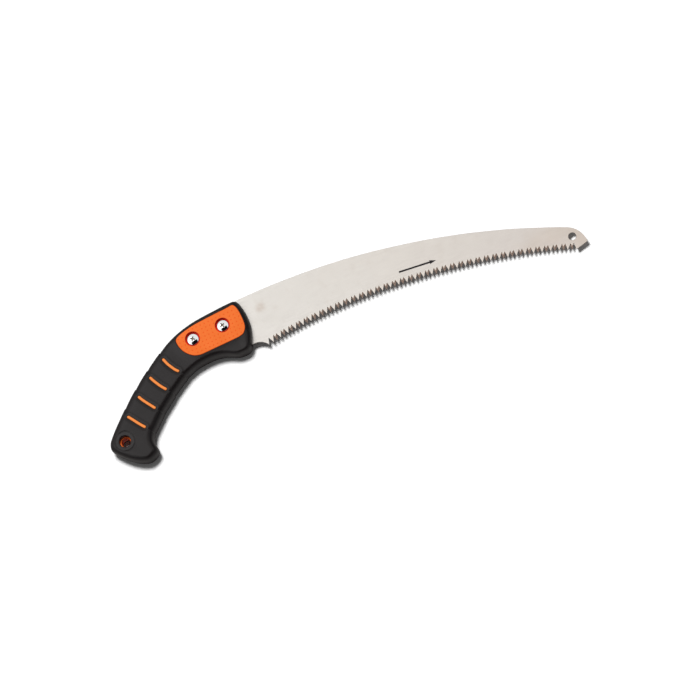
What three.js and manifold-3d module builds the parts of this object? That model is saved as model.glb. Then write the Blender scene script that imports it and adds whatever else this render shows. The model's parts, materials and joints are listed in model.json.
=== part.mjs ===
// Pistol-grip pruning saw: a long curved pull-cut blade bolted into a
// two-component handle with two threaded fasteners.
//
// Millimetres, +Z up. The saw lies on its side: X runs along the line through
// the two fasteners towards the blade tip, Y points to the blade's back, and Z
// is the thickness direction with the fastener heads on the +Z side. The
// handle profile is written about the front fastener; the finished group is
// shifted so that its origin is the middle of the bounding box's bottom face.
import * as THREE from 'three';
import { mergeVertices } from 'three/addons/utils/BufferGeometryUtils.js';
import Module from 'manifold-3d';

const wasm = await Module();
wasm.setup();

// ---------------------------------------------------------------- dimensions
const PAD_PLANE = 13.0;          // half thickness over the side pads
const GRIP_PLANE = 12.4;         // half thickness over the flat of the soft grip
const CORE_PLANE = 10.2;         // half thickness of the hard core under the grip
const CAVITY_PLANE = 10.5;       // half thickness of the grip's cavity
const RIDGE_PLANE = 12.0;        // half height of the four tactile ridges
const CORE_INSET = 3.0;          // grip wall thickness round the core
const CAVITY_INSET = 2.7;
const ROUND_POWER = 2.3;         // superellipse power of the edge round the side pads
const GRIP_POWER = 3.1;          // the same along the grip
const GAP = 0.3;                 // moulding gap between core and grip

const BLADE_T = 1.4;             // blade thickness
const SLOT_T = 2.0;              // width of the blade slot in the core
const TOOTH_PAIRS = 37;          // pairs of alternately ground teeth
const TOOTH_DEPTH = 6.7;
const TOOTH_LEAN = 0.45;         // tip offset towards the handle (pull cut)
const BEVEL_HALF = 0.58;         // face bevel seen along the root line
const BEVEL_TIP = 3.5;           // face bevel measured at the tooth point

const SCREW_Y = 0;
const FRONT_X = 0;
const REAR_X = -33.3;            // fastener spacing 33.3 mm
const COUNTERBORE_R = 7.5;
const COUNTERBORE_FLOOR = 9.6;   // near side, under the washer
const NUT_FLOOR = 10.6;          // far side, under the sleeve nut head
const BARREL_HOLE_R = 4.3;
const BARREL_R = 4.0;            // sleeve nut barrel
const BARREL_TOP = 7.0;
const BORE_R = 2.6;              // bore of the sleeve nut
const SHANK_R = 2.35;            // screw shank (thread not cut)
const HEAD_R = 6.4;
const HEAD_TOP = 12.75;
const WASHER_R = 6.2;
const WASHER_HOLE_R = 2.75;
const WASHER_T = 0.8;

const HANG_X = -137.7, HANG_Y = -68.6;
const HANG_CORE_R = 4.8;         // hole through the hard core
const HANG_GRIP_R = 5.9;         // hole through the soft grip
const LINING_R = 8.2;            // soft collar round the hang hole
const LINING_FLOOR = 6.4;        // where the collar meets the core
const TIP_HOLE_X = 359.8, TIP_HOLE_Y = -66.1, TIP_HOLE_R = 3.9;

// --------------------------------------------------------------- profile data
// Each row: outer silhouette x, y, then the edge of the flat side face x, y.
const HANDLE = [
  [22.8, 18.1, 19.0, 12.6], [19.7, 20.4, 18.5, 14.4], [15.1, 20.7, 15.3, 15.0], [7.6, 20.5, 7.9, 15.0],
  [-0.5, 20.1, -0.2, 14.7], [-8.6, 19.7, -8.2, 14.3], [-16.7, 19.2, -16.2, 13.7], [-24.8, 18.5, -24.1, 12.9],
  [-32.9, 17.3, -31.8, 11.4], [-40.8, 15.6, -39.3, 8.8], [-48.5, 13.2, -46.2, 5.1], [-56.2, 10.2, -52.7, 0.6],
  [-63.6, 6.9, -59.0, -4.0], [-70.8, 3.1, -65.5, -8.4], [-77.8, -1.0, -72.0, -12.6], [-84.7, -5.2, -78.7, -16.8],
  [-91.4, -9.6, -85.3, -21.1], [-98.2, -14.1, -91.8, -25.5], [-104.8, -18.9, -98.3, -30.1], [-111.4, -23.8, -104.6, -34.8],
  [-117.8, -28.8, -110.8, -39.6], [-124.1, -34.1, -116.9, -44.7], [-130.2, -39.4, -122.8, -49.8], [-136.2, -44.9, -128.7, -55.2],
  [-142.2, -50.5, -134.6, -60.5], [-147.8, -56.2, -139.5, -65.1], [-152.1, -61.0, -143.2, -68.3], [-154.2, -65.1, -144.7, -70.2],
  [-154.7, -69.0, -145.0, -71.5], [-153.8, -71.4, -144.6, -72.9], [-151.6, -74.8, -143.1, -74.8], [-149.1, -77.8, -141.2, -77.1],
  [-146.0, -81.3, -138.7, -80.2], [-140.5, -86.7, -133.9, -85.1], [-133.9, -91.6, -128.3, -89.3], [-127.1, -94.9, -124.7, -90.3],
  [-122.4, -95.8, -122.5, -91.0], [-118.1, -94.8, -121.3, -90.8], [-114.2, -93.2, -120.0, -90.9], [-111.1, -90.7, -118.5, -90.1],
  [-110.4, -88.0, -118.6, -88.2], [-111.0, -83.9, -119.0, -85.4], [-111.1, -79.0, -118.6, -81.9], [-109.8, -74.8, -117.7, -75.5],
  [-107.2, -71.0, -114.6, -69.1], [-101.9, -65.8, -108.8, -63.0], [-95.9, -60.4, -102.6, -57.3], [-89.8, -55.2, -96.0, -51.7],
  [-83.3, -50.2, -89.3, -46.5], [-76.7, -45.5, -82.5, -41.6], [-70.2, -40.9, -75.7, -36.9], [-63.4, -36.5, -68.5, -32.2],
  [-56.4, -32.5, -60.6, -27.8], [-49.2, -29.4, -52.3, -24.3], [-41.6, -27.1, -43.3, -21.8], [-33.8, -25.9, -34.1, -20.6],
  [-25.8, -25.5, -24.9, -20.5], [-18.1, -26.2, -15.6, -21.9], [-10.7, -28.1, -6.9, -24.7], [-4.9, -30.7, -0.5, -28.4],
  [0.4, -33.4, 4.3, -31.0], [5.0, -34.4, 7.3, -31.3], [9.5, -34.4, 9.4, -30.9], [13.8, -33.8, 10.6, -31.5],
  [17.1, -31.5, 12.2, -31.5], [19.5, -27.9, 14.0, -29.5], [21.5, -23.3, 15.7, -25.7], [23.8, -16.1, 18.1, -19.5],
  [25.5, -8.5, 19.6, -12.1], [26.1, -0.5, 20.2, -4.6], [25.6, 7.3, 19.9, 2.6], [24.4, 13.5, 19.4, 8.4],
];

const PAD = [
  [16.9, 14.9], [18.6, 12.8], [19.4, 10.7], [20.3, 5.6], [20.6, 0.4], [20.6, -4.9], [20.0, -10.1], [19.1, -12.7],
  [17.8, -14.8], [16.0, -16.7], [13.8, -17.9], [11.3, -18.5], [8.8, -18.7], [-27.9, -19.0], [-31.6, -18.9], [-36.5, -17.7],
  [-40.9, -15.1], [-44.6, -11.4], [-47.4, -7.0], [-49.2, -2.1], [-49.9, 3.1], [-49.5, 5.8], [-47.9, 7.6], [-43.2, 9.6],
  [-38.3, 10.9], [-33.4, 11.9], [-28.4, 12.7], [-18.4, 13.5], [-8.3, 14.0], [1.8, 14.4], [11.9, 14.8], [14.7, 15.2],
].reverse();

// Centre lines of the four tactile ridges, each RIDGE_R wide either side.
const RIDGE_R = 1.45;
const RIDGES = [
  [[-68.8, -6.5], [-68.0, -9.2], [-66.5, -13.1], [-64.5, -16.9], [-62.4, -20.6], [-59.9, -23.7]],
  [[-88.3, -18.4], [-86.9, -21.8], [-84.0, -27.5], [-81.8, -31.3], [-78.8, -35.5]],
  [[-106.8, -31.8], [-105.1, -35.3], [-101.9, -40.7], [-99.5, -44.4], [-96.7, -48.7]],
  [[-124.8, -46.2], [-121.4, -51.3], [-118.0, -56.7], [-113.7, -62.7]],
];

// Slot for the blade tang. It is open at the front and at the top corner.
const SLOT = [
  [-48.3, -1.0], [-47.3, -6.5], [-44.0, -10.8], [-39.2, -12.7], [-20.0, -13.1], [-0.2, -14.2], [6.2, -16.9],
  [10.0, -20.7], [13.5, -26.6], [16.4, -28.8], [20.7, -29.1], [45.0, -29.1], [45.0, 29.0], [18.0, 29.0],
  [17.7, 20.4], [17.0, 13.0], [0.0, 12.7], [-20.0, 12.3], [-38.3, 11.2], [-43.6, 9.1], [-47.2, 4.9],
];

// Line through the tooth points, and the blade's back.
const TOOTH_LINE = [
  [35.1, -35.9], [55.8, -33.6], [77.8, -32.3], [101.8, -31.8], [125.8, -32.2], [149.9, -33.5], [173.9, -35.6],
  [197.9, -38.6], [222.0, -42.3], [246.0, -46.9], [270.0, -52.2], [294.1, -58.5], [318.2, -65.6], [340.2, -73.2],
  [358.4, -80.2],
];
const BACK = [
  [368.9, -64.9], [365.3, -59.8], [360.4, -55.9], [354.9, -53.1], [349.4, -50.4], [338.3, -45.4], [312.2, -34.1],
  [289.3, -25.3], [266.2, -17.2], [242.9, -9.9], [219.3, -3.3], [195.8, 2.3], [171.9, 7.5], [148.1, 11.8],
  [124.0, 15.3], [99.9, 17.9], [75.8, 19.8], [51.6, 21.0], [27.4, 21.4],
];
const NOSE = [
  [358.4, -80.2], [371.7, -77.4], [372.1, -76.2], [371.2, -70.7],
];
const TANG_LOWER = [
  [-47.8, -1.0], [-46.8, -6.2], [-43.7, -10.3], [-39.1, -12.2], [-20.0, -12.6], [-0.1, -13.6], [6.6, -16.4],
  [10.5, -20.3], [14.0, -26.0], [16.7, -28.1], [20.4, -28.3], [24.6, -28.5], [28.5, -29.8], [32.0, -32.2],
  [35.1, -35.9],
];
const TANG_UPPER = [
  [20.8, 21.3], [18.6, 20.0], [17.6, 12.5], [0.0, 12.2], [-20.0, 11.8], [-38.2, 10.7], [-43.2, 8.7],
  [-46.7, 4.6],
];

// ------------------------------------------------------------------- helpers
function solid(geometry) {
  const g = geometry.index ? geometry.clone() : geometry;
  g.deleteAttribute('normal');
  g.deleteAttribute('uv');
  const m = mergeVertices(g, 1e-4);
  return new wasm.Manifold(new wasm.Mesh({
    numProp: 3,
    vertProperties: new Float32Array(m.attributes.position.array),
    triVerts: new Uint32Array(m.index.array),
  }));
}

function geometryOf(manifold) {
  const mesh = manifold.getMesh();
  const n = mesh.numProp;
  const pos = new Float32Array((mesh.vertProperties.length / n) * 3);
  for (let i = 0; i < pos.length / 3; i++) {
    for (let k = 0; k < 3; k++) pos[3 * i + k] = mesh.vertProperties[n * i + k];
  }
  const g = new THREE.BufferGeometry();
  g.setAttribute('position', new THREE.BufferAttribute(pos, 3));
  g.setIndex(new THREE.BufferAttribute(new Uint32Array(mesh.triVerts), 1));
  return g;
}

function smoothLoop(points, samples) {
  const c = new THREE.CatmullRomCurve3(points.map(([x, y]) => new THREE.Vector3(x, y, 0)), true, 'centripetal');
  const out = [];
  for (let i = 0; i < samples; i++) {
    const p = c.getPoint(i / samples);
    out.push([p.x, p.y]);
  }
  return out;
}

// Prism of a closed outline between two heights.
function prism(outline, z0, z1) {
  const shape = new THREE.Shape(outline.map(([x, y]) => new THREE.Vector2(x, y)));
  const g = new THREE.ExtrudeGeometry(shape, { depth: z1 - z0, bevelEnabled: false, curveSegments: 1 });
  g.translate(0, 0, z0);
  return solid(g);
}

function grow(outline, d) {
  const n = outline.length;
  const sign = Math.sign(THREE.ShapeUtils.area(outline.map(([x, y]) => new THREE.Vector2(x, y))));
  return outline.map((p, i) => {
    const a = outline[(i + n - 1) % n], b = outline[(i + 1) % n];
    const e1 = new THREE.Vector2(p[0] - a[0], p[1] - a[1]).normalize();
    const e2 = new THREE.Vector2(b[0] - p[0], b[1] - p[1]).normalize();
    const m = new THREE.Vector2(e1.y + e2.y, -(e1.x + e2.x)).normalize();
    const k = Math.max(0.5, m.x * e1.y - m.y * e1.x);
    return [p[0] + sign * m.x * d / k, p[1] + sign * m.y * d / k];
  });
}

function capsule(line, r) {
  const c = new THREE.CatmullRomCurve3(line.map(([x, y]) => new THREE.Vector3(x, y, 0)), false, 'centripetal');
  const steps = 4, cap = 5, left = [], right = [];
  for (let i = 0; i <= steps; i++) {
    const p = c.getPointAt(i / steps), t = c.getTangentAt(i / steps);
    left.push([p.x - t.y * r, p.y + t.x * r]);
    right.push([p.x + t.y * r, p.y - t.x * r]);
  }
  const arc = (u, dir) => {
    const p = c.getPointAt(u), t = c.getTangentAt(u), out = [];
    const a0 = Math.atan2(t.y, t.x) + (dir > 0 ? -Math.PI / 2 : Math.PI / 2);
    for (let i = 1; i < cap; i++) out.push([p.x + r * Math.cos(a0 + Math.PI * i / cap), p.y + r * Math.sin(a0 + Math.PI * i / cap)]);
    return out;
  };
  return [...right, ...arc(1, 1), ...left.reverse(), ...arc(0, -1)];
}

// The edge is rounder beside the pads and squarer along the grip.
function edgePower(x, y) {
  const ease = (t) => { const u = Math.min(Math.max(t, 0), 1); return u * u * (3 - 2 * u); };
  return ROUND_POWER + (GRIP_POWER - ROUND_POWER) * Math.max(ease((-35 - x) / 25), ease((-12 - y) / 10));
}

// Rounded slab between the silhouette and the two flat side faces.
function roundedSlab(inset, plane, steps, samples) {
  const outer = smoothLoop(HANDLE.map((r) => [r[0], r[1]]), samples);
  const face = smoothLoop(HANDLE.map((r) => [r[2], r[3]]), samples);
  const start = outer.map((p, i) => {
    const d = Math.hypot(face[i][0] - p[0], face[i][1] - p[1]);
    const f = Math.min(0.96, inset / d);
    return [p[0] + (face[i][0] - p[0]) * f, p[1] + (face[i][1] - p[1]) * f];
  });
  const power = outer.map(([x, y]) => edgePower(x, y));
  const n = samples, pos = [], idx = [];
  const levels = [];
  for (let k = -steps; k <= steps; k++) levels.push(k);
  for (const k of levels) {
    const a = (Math.abs(k) / steps) * Math.PI / 2, flat = Math.abs(k) === steps;
    for (let i = 0; i < n; i++) {
      const s = flat ? 1 : 1 - Math.pow(Math.cos(a), 2 / power[i]);
      const z = flat ? Math.sign(k) * plane : Math.sign(k) * plane * Math.pow(Math.sin(a), 2 / power[i]);
      pos.push(start[i][0] + (face[i][0] - start[i][0]) * s, start[i][1] + (face[i][1] - start[i][1]) * s, z);
    }
  }
  for (let l = 0; l < levels.length - 1; l++) {
    for (let i = 0; i < n; i++) {
      const j = (i + 1) % n, a = l * n + i, b = l * n + j, c = a + n, d = b + n;
      idx.push(a, b, d, a, d, c);
    }
  }
  const cap = THREE.ShapeUtils.triangulateShape(face.map(([x, y]) => new THREE.Vector2(x, y)), []);
  const top = (levels.length - 1) * n;
  const ccw = THREE.ShapeUtils.area(outer.map(([x, y]) => new THREE.Vector2(x, y))) > 0;
  for (const [a, b, c] of cap) {
    const u = new THREE.Vector2(face[b][0] - face[a][0], face[b][1] - face[a][1]);
    const v = new THREE.Vector2(face[c][0] - face[a][0], face[c][1] - face[a][1]);
    const flip = u.cross(v) < 0;
    const [p, q, r] = flip ? [a, c, b] : [a, b, c];
    const t = ccw ? 0 : 0;
    idx.push(top + p + t, top + q, top + r, p, r, q);
  }
  if (!ccw) for (let i = 0; i < (levels.length - 1) * n * 6; i += 3) [idx[i + 1], idx[i + 2]] = [idx[i + 2], idx[i + 1]];
  const g = new THREE.BufferGeometry();
  g.setAttribute('position', new THREE.Float32BufferAttribute(pos, 3));
  g.setIndex(idx);
  return solid(g);
}

function post(x, y, r, z0, z1, segments = 32) {
  const g = new THREE.CylinderGeometry(r, r, z1 - z0, segments);
  g.rotateX(Math.PI / 2);
  g.translate(x, y, (z0 + z1) / 2);
  return solid(g);
}

function turned(profile, x, y, segments = 36) {
  const g = new THREE.LatheGeometry(profile.map(([r, z]) => new THREE.Vector2(r, z)), segments);
  g.rotateX(Math.PI / 2);
  g.translate(x, y, 0);
  return solid(g);
}

// Cross recess: two crossed wedges that narrow with depth.
function crossRecess(x, y, face, depth) {
  const half = 3.3, w = 0.62, dir = Math.sign(face);
  let out = null;
  for (const turn of [0.32, 0.32 + Math.PI / 2]) {
    const top = face + dir * 0.6, bottom = face - dir * depth;
    const lo = [[-0.9, -0.35], [0.9, -0.35], [0.9, 0.35], [-0.9, 0.35]];
    const hi = [[-half, -w], [half, -w], [half, w], [-half, w]];
    const pos = [];
    const c = Math.cos(turn), s = Math.sin(turn);
    const [zl, zh, a, b] = dir > 0 ? [bottom, top, lo, hi] : [top, bottom, hi, lo];
    for (const [px, py] of a) pos.push(x + px * c - py * s, y + px * s + py * c, zl);
    for (const [px, py] of b) pos.push(x + px * c - py * s, y + px * s + py * c, zh);
    const g = new THREE.BufferGeometry();
    g.setAttribute('position', new THREE.Float32BufferAttribute(pos, 3));
    g.setIndex([0, 2, 1, 0, 3, 2, 4, 5, 6, 4, 6, 7, 0, 1, 5, 0, 5, 4, 1, 2, 6, 1, 6, 5, 2, 3, 7, 2, 7, 6, 3, 0, 4, 3, 4, 7]);
    const m = solid(g);
    out = out ? out.add(m) : m;
  }
  return out;
}

// --------------------------------------------------------------------- blade
function bladeGeometry() {
  const tipCurve = new THREE.CatmullRomCurve3(TOOTH_LINE.map(([x, y]) => new THREE.Vector3(x, y, 0)), false, 'centripetal');
  tipCurve.arcLengthDivisions = 600;
  const N = 60, rootPts = [];
  for (let i = 0; i <= N; i++) {
    const p = tipCurve.getPointAt(i / N), t = tipCurve.getTangentAt(i / N);
    rootPts.push(new THREE.Vector3(p.x - t.y * TOOTH_DEPTH, p.y + t.x * TOOTH_DEPTH, 0));
  }
  const root = new THREE.CatmullRomCurve3(rootPts, false, 'centripetal');
  root.arcLengthDivisions = 2000;
  const len = root.getLength();
  const at = (s) => {
    const u = THREE.MathUtils.clamp(s / len, 0, 1), p = root.getPointAt(u), t = root.getTangentAt(u);
    return { x: p.x, y: p.y, tx: t.x, ty: t.y };
  };
  const sOfX = (x) => {
    let lo = 0, hi = len;
    for (let i = 0; i < 50; i++) { const m = (lo + hi) / 2; if (at(m).x < x) lo = m; else hi = m; }
    return lo;
  };
  const first = sOfX(37.7), last = sOfX(359.1);
  const pitch = (last - first) / (2 * TOOTH_PAIRS);
  const near = [], far = [];
  const both = (p) => { near.push(p); far.push(p); };
  const along = (s, d) => { const q = at(s + d); return [q.x, q.y]; };
  TANG_LOWER.forEach(both);
  for (let k = 0; k <= 2 * TOOTH_PAIRS; k++) {
    const s = first + k * pitch;
    const e = k % 2 === 0 ? -BEVEL_HALF : BEVEL_HALF;
    near.push(along(s, e));
    far.push(along(s, k === 0 || k === 2 * TOOTH_PAIRS ? e : -e));
    if (k < 2 * TOOTH_PAIRS) {
      const q = at(s + pitch / 2 - TOOTH_LEAN);
      const tip = (d) => [q.x + q.ty * d, q.y - q.tx * d];
      const full = tip(TOOTH_DEPTH), ground = tip(TOOTH_DEPTH - BEVEL_TIP);
      near.push(k % 2 === 0 ? full : ground);
      far.push(k % 2 === 0 ? ground : full);
    }
  }
  NOSE.forEach(both);
  BACK.forEach(both);
  TANG_UPPER.forEach(both);
  const v2 = (l) => l.map(([x, y]) => new THREE.Vector2(x, y));
  const ring = (x, y, r, seg) => Array.from({ length: seg }, (_, i) => {
    const a = -2 * Math.PI * i / seg;
    return [x + r * Math.cos(a), y + r * Math.sin(a)];
  });
  const holes = [ring(TIP_HOLE_X, TIP_HOLE_Y, TIP_HOLE_R, 28), ring(FRONT_X, SCREW_Y, BARREL_HOLE_R, 24), ring(REAR_X, SCREW_Y, BARREL_HOLE_R, 24)];
  const pos = [], idx = [];
  const loops = [near, ...holes], loopsFar = [far, ...holes];
  const h = BLADE_T / 2;
  const all = loops.flat(), allFar = loopsFar.flat(), n = all.length;
  for (const [x, y] of all) pos.push(x, y, h);
  for (const [x, y] of allFar) pos.push(x, y, -h);
  const capNear = THREE.ShapeUtils.triangulateShape(v2(near), holes.map(v2));
  const capFar = THREE.ShapeUtils.triangulateShape(v2(far), holes.map(v2));
  const area = (l, [a, b, c]) => (l[b][0] - l[a][0]) * (l[c][1] - l[a][1]) - (l[c][0] - l[a][0]) * (l[b][1] - l[a][1]);
  for (const t of capNear) { if (area(all, t) > 0) idx.push(t[0], t[1], t[2]); else idx.push(t[0], t[2], t[1]); }
  for (const t of capFar) { if (area(allFar, t) > 0) idx.push(n + t[0], n + t[2], n + t[1]); else idx.push(n + t[0], n + t[1], n + t[2]); }
  let off = 0;
  for (const l of loops) {
    for (let i = 0; i < l.length; i++) {
      const a = off + i, b = off + (i + 1) % l.length;
      idx.push(n + a, n + b, b, n + a, b, a);
    }
    off += l.length;
  }
  const g = new THREE.BufferGeometry();
  g.setAttribute('position', new THREE.Float32BufferAttribute(pos, 3));
  g.setIndex(idx);
  return geometryOf(solid(g));
}

// -------------------------------------------------------------- handle solids
const SAMPLES = 84;
const slotCut = () => prism(SLOT, -SLOT_T / 2, SLOT_T / 2);

function coreGeometry() {
  let m = roundedSlab(CORE_INSET, CORE_PLANE, 2, SAMPLES);
  m = m.add(prism(PAD, -PAD_PLANE, PAD_PLANE));
  for (const r of RIDGES) m = m.add(prism(capsule(r, RIDGE_R), -RIDGE_PLANE, RIDGE_PLANE));
  m = m.subtract(slotCut());
  for (const x of [FRONT_X, REAR_X]) {
    m = m.subtract(post(x, SCREW_Y, BARREL_HOLE_R, -20, 20, 24));
    m = m.subtract(post(x, SCREW_Y, COUNTERBORE_R, COUNTERBORE_FLOOR, 20));
    m = m.subtract(post(x, SCREW_Y, COUNTERBORE_R, -20, -NUT_FLOOR));
  }
  m = m.subtract(post(HANG_X, HANG_Y, HANG_CORE_R, -20, 20));
  m = m.subtract(post(HANG_X, HANG_Y, LINING_R + GAP, LINING_FLOOR - GAP, 20));
  m = m.subtract(post(HANG_X, HANG_Y, LINING_R + GAP, -20, GAP - LINING_FLOOR));
  return geometryOf(m);
}

function gripGeometry() {
  let m = roundedSlab(0, GRIP_PLANE, 4, SAMPLES);
  let cavity = roundedSlab(CAVITY_INSET, CAVITY_PLANE, 2, SAMPLES);
  cavity = cavity.subtract(post(HANG_X, HANG_Y, LINING_R, LINING_FLOOR, 20));
  cavity = cavity.subtract(post(HANG_X, HANG_Y, LINING_R, -20, -LINING_FLOOR));
  m = m.subtract(cavity);
  m = m.subtract(prism(grow(PAD, GAP), -20, 20));
  for (const r of RIDGES) m = m.subtract(prism(capsule(r, RIDGE_R + GAP), -20, 20));
  m = m.subtract(post(HANG_X, HANG_Y, HANG_GRIP_R, -20, 20, 36));
  m = m.subtract(slotCut());
  return geometryOf(m);
}

// ------------------------------------------------------------------ fasteners
const HEAD_UNDER = COUNTERBORE_FLOOR + 0.05 + WASHER_T + 0.05;
function dome(under, top, r) {
  const edge = under + 0.7, out = [];
  const h = top - edge;
  const R = (r * r + h * h) / (2 * h);
  for (let i = 0; i <= 6; i++) {
    const a = Math.asin(r / R) * (1 - i / 6);
    out.push([R * Math.sin(a), top - R + R * Math.cos(a)]);
  }
  out[6][0] = 0;
  return out;
}

function screwGeometry(x) {
  const profile = [[0, -6.5], [SHANK_R - 0.5, -6.5], [SHANK_R, -6.0], [SHANK_R, HEAD_UNDER], [HEAD_R, HEAD_UNDER], ...dome(HEAD_UNDER, HEAD_TOP, HEAD_R)];
  return geometryOf(turned(flip(profile), x, SCREW_Y).subtract(crossRecess(x, SCREW_Y, HEAD_TOP, 1.6)));
}

// LatheGeometry turns about its own Y; after the quarter turn about X, +Y
// becomes +Z, so the profile is used as written and only the winding matters.
function flip(profile) {
  return profile;
}

function washerGeometry(x) {
  const z0 = COUNTERBORE_FLOOR + 0.05, z1 = z0 + WASHER_T;
  const ring = post(x, SCREW_Y, WASHER_R, z0, z1, 36).subtract(post(x, SCREW_Y, WASHER_HOLE_R, z0 - 1, z1 + 1, 24));
  return geometryOf(ring);
}

function nutGeometry(x) {
  const under = -(NUT_FLOOR + 0.05);
  const cap = dome(NUT_FLOOR + 0.05, HEAD_TOP, HEAD_R).map(([r, z]) => [r, -z]).reverse();
  const profile = [...cap, [HEAD_R, under], [BARREL_R, under], [BARREL_R, BARREL_TOP], [BORE_R, BARREL_TOP], [BORE_R, -8.5], [0, -8.5]];
  return geometryOf(turned(profile, x, SCREW_Y).subtract(crossRecess(x, SCREW_Y, -HEAD_TOP, 1.6)));
}

// ------------------------------------------------------------------- assembly
const material = (color, roughness, metalness) => new THREE.MeshStandardMaterial({ color, roughness, metalness });
const steel = material(0xd8d2cb, 0.38, 1.0);
const orange = material(0xf47a35, 0.5, 0.0);
const black = material(0x2b2a2c, 0.75, 0.0);
const chrome = material(0xe6e8ea, 0.12, 1.0);
const zinc = material(0xc4c6c8, 0.35, 1.0);

const part = new THREE.Group();
function node(name, geometry, mat) {
  geometry.computeVertexNormals();
  const m = new THREE.Mesh(geometry, mat);
  m.name = name;
  part.add(m);
  return m;
}

node('saw_blade', bladeGeometry(), steel);
node('handle_core', coreGeometry(), orange);
node('soft_grip', gripGeometry(), black);
node('front_screw', screwGeometry(FRONT_X), chrome);
node('rear_screw', screwGeometry(REAR_X), chrome);
node('front_washer', washerGeometry(FRONT_X), zinc);
node('rear_washer', washerGeometry(REAR_X), zinc);
node('front_sleeve_nut', nutGeometry(FRONT_X), chrome);
node('rear_sleeve_nut', nutGeometry(REAR_X), chrome);

// Origin: middle of the bounding box's bottom face.
const SHIFT_X = -108.7, SHIFT_Y = 37.2, SHIFT_Z = PAD_PLANE;
part.traverse((o) => { if (o.isMesh) o.geometry.translate(SHIFT_X, SHIFT_Y, SHIFT_Z); });

export default part;
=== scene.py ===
import json
import math

import bpy
import numpy as np
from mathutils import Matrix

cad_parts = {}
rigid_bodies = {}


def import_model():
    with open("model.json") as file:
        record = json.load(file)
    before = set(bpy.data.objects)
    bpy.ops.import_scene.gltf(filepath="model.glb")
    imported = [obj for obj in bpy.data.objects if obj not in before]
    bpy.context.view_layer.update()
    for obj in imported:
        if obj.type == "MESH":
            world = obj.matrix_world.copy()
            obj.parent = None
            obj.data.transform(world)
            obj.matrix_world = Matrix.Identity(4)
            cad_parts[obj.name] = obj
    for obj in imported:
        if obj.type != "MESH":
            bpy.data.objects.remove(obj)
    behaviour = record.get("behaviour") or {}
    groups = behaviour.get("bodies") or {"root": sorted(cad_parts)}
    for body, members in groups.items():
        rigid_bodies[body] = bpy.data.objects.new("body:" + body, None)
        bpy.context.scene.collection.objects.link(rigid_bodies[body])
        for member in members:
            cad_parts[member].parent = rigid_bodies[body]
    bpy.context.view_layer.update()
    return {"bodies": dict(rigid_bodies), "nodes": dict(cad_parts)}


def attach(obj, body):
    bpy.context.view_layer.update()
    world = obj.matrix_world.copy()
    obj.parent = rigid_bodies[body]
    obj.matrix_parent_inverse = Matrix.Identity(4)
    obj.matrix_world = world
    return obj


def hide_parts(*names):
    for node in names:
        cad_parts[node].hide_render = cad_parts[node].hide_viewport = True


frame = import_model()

import openvdb as vdb
from mathutils import Matrix, Vector

bodies, nodes = frame["bodies"], frame["nodes"]

# ------------------------------------------------------------------ the frame
# Profiles are written in millimetres about the front screw and the blade's
# mid-plane, then moved into the row frame, which is in metres.
SHIFT = np.array([-108.7, 37.2, 13.0])
FRONT, REAR = (0.0, 0.0), (-33.3, 0.0)
HANG = (-137.7, -68.6)
TIP_HOLE = (359.8, -66.1)


def to_m(p):
    return (np.asarray(p, float) + SHIFT) / 1000.0


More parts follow.
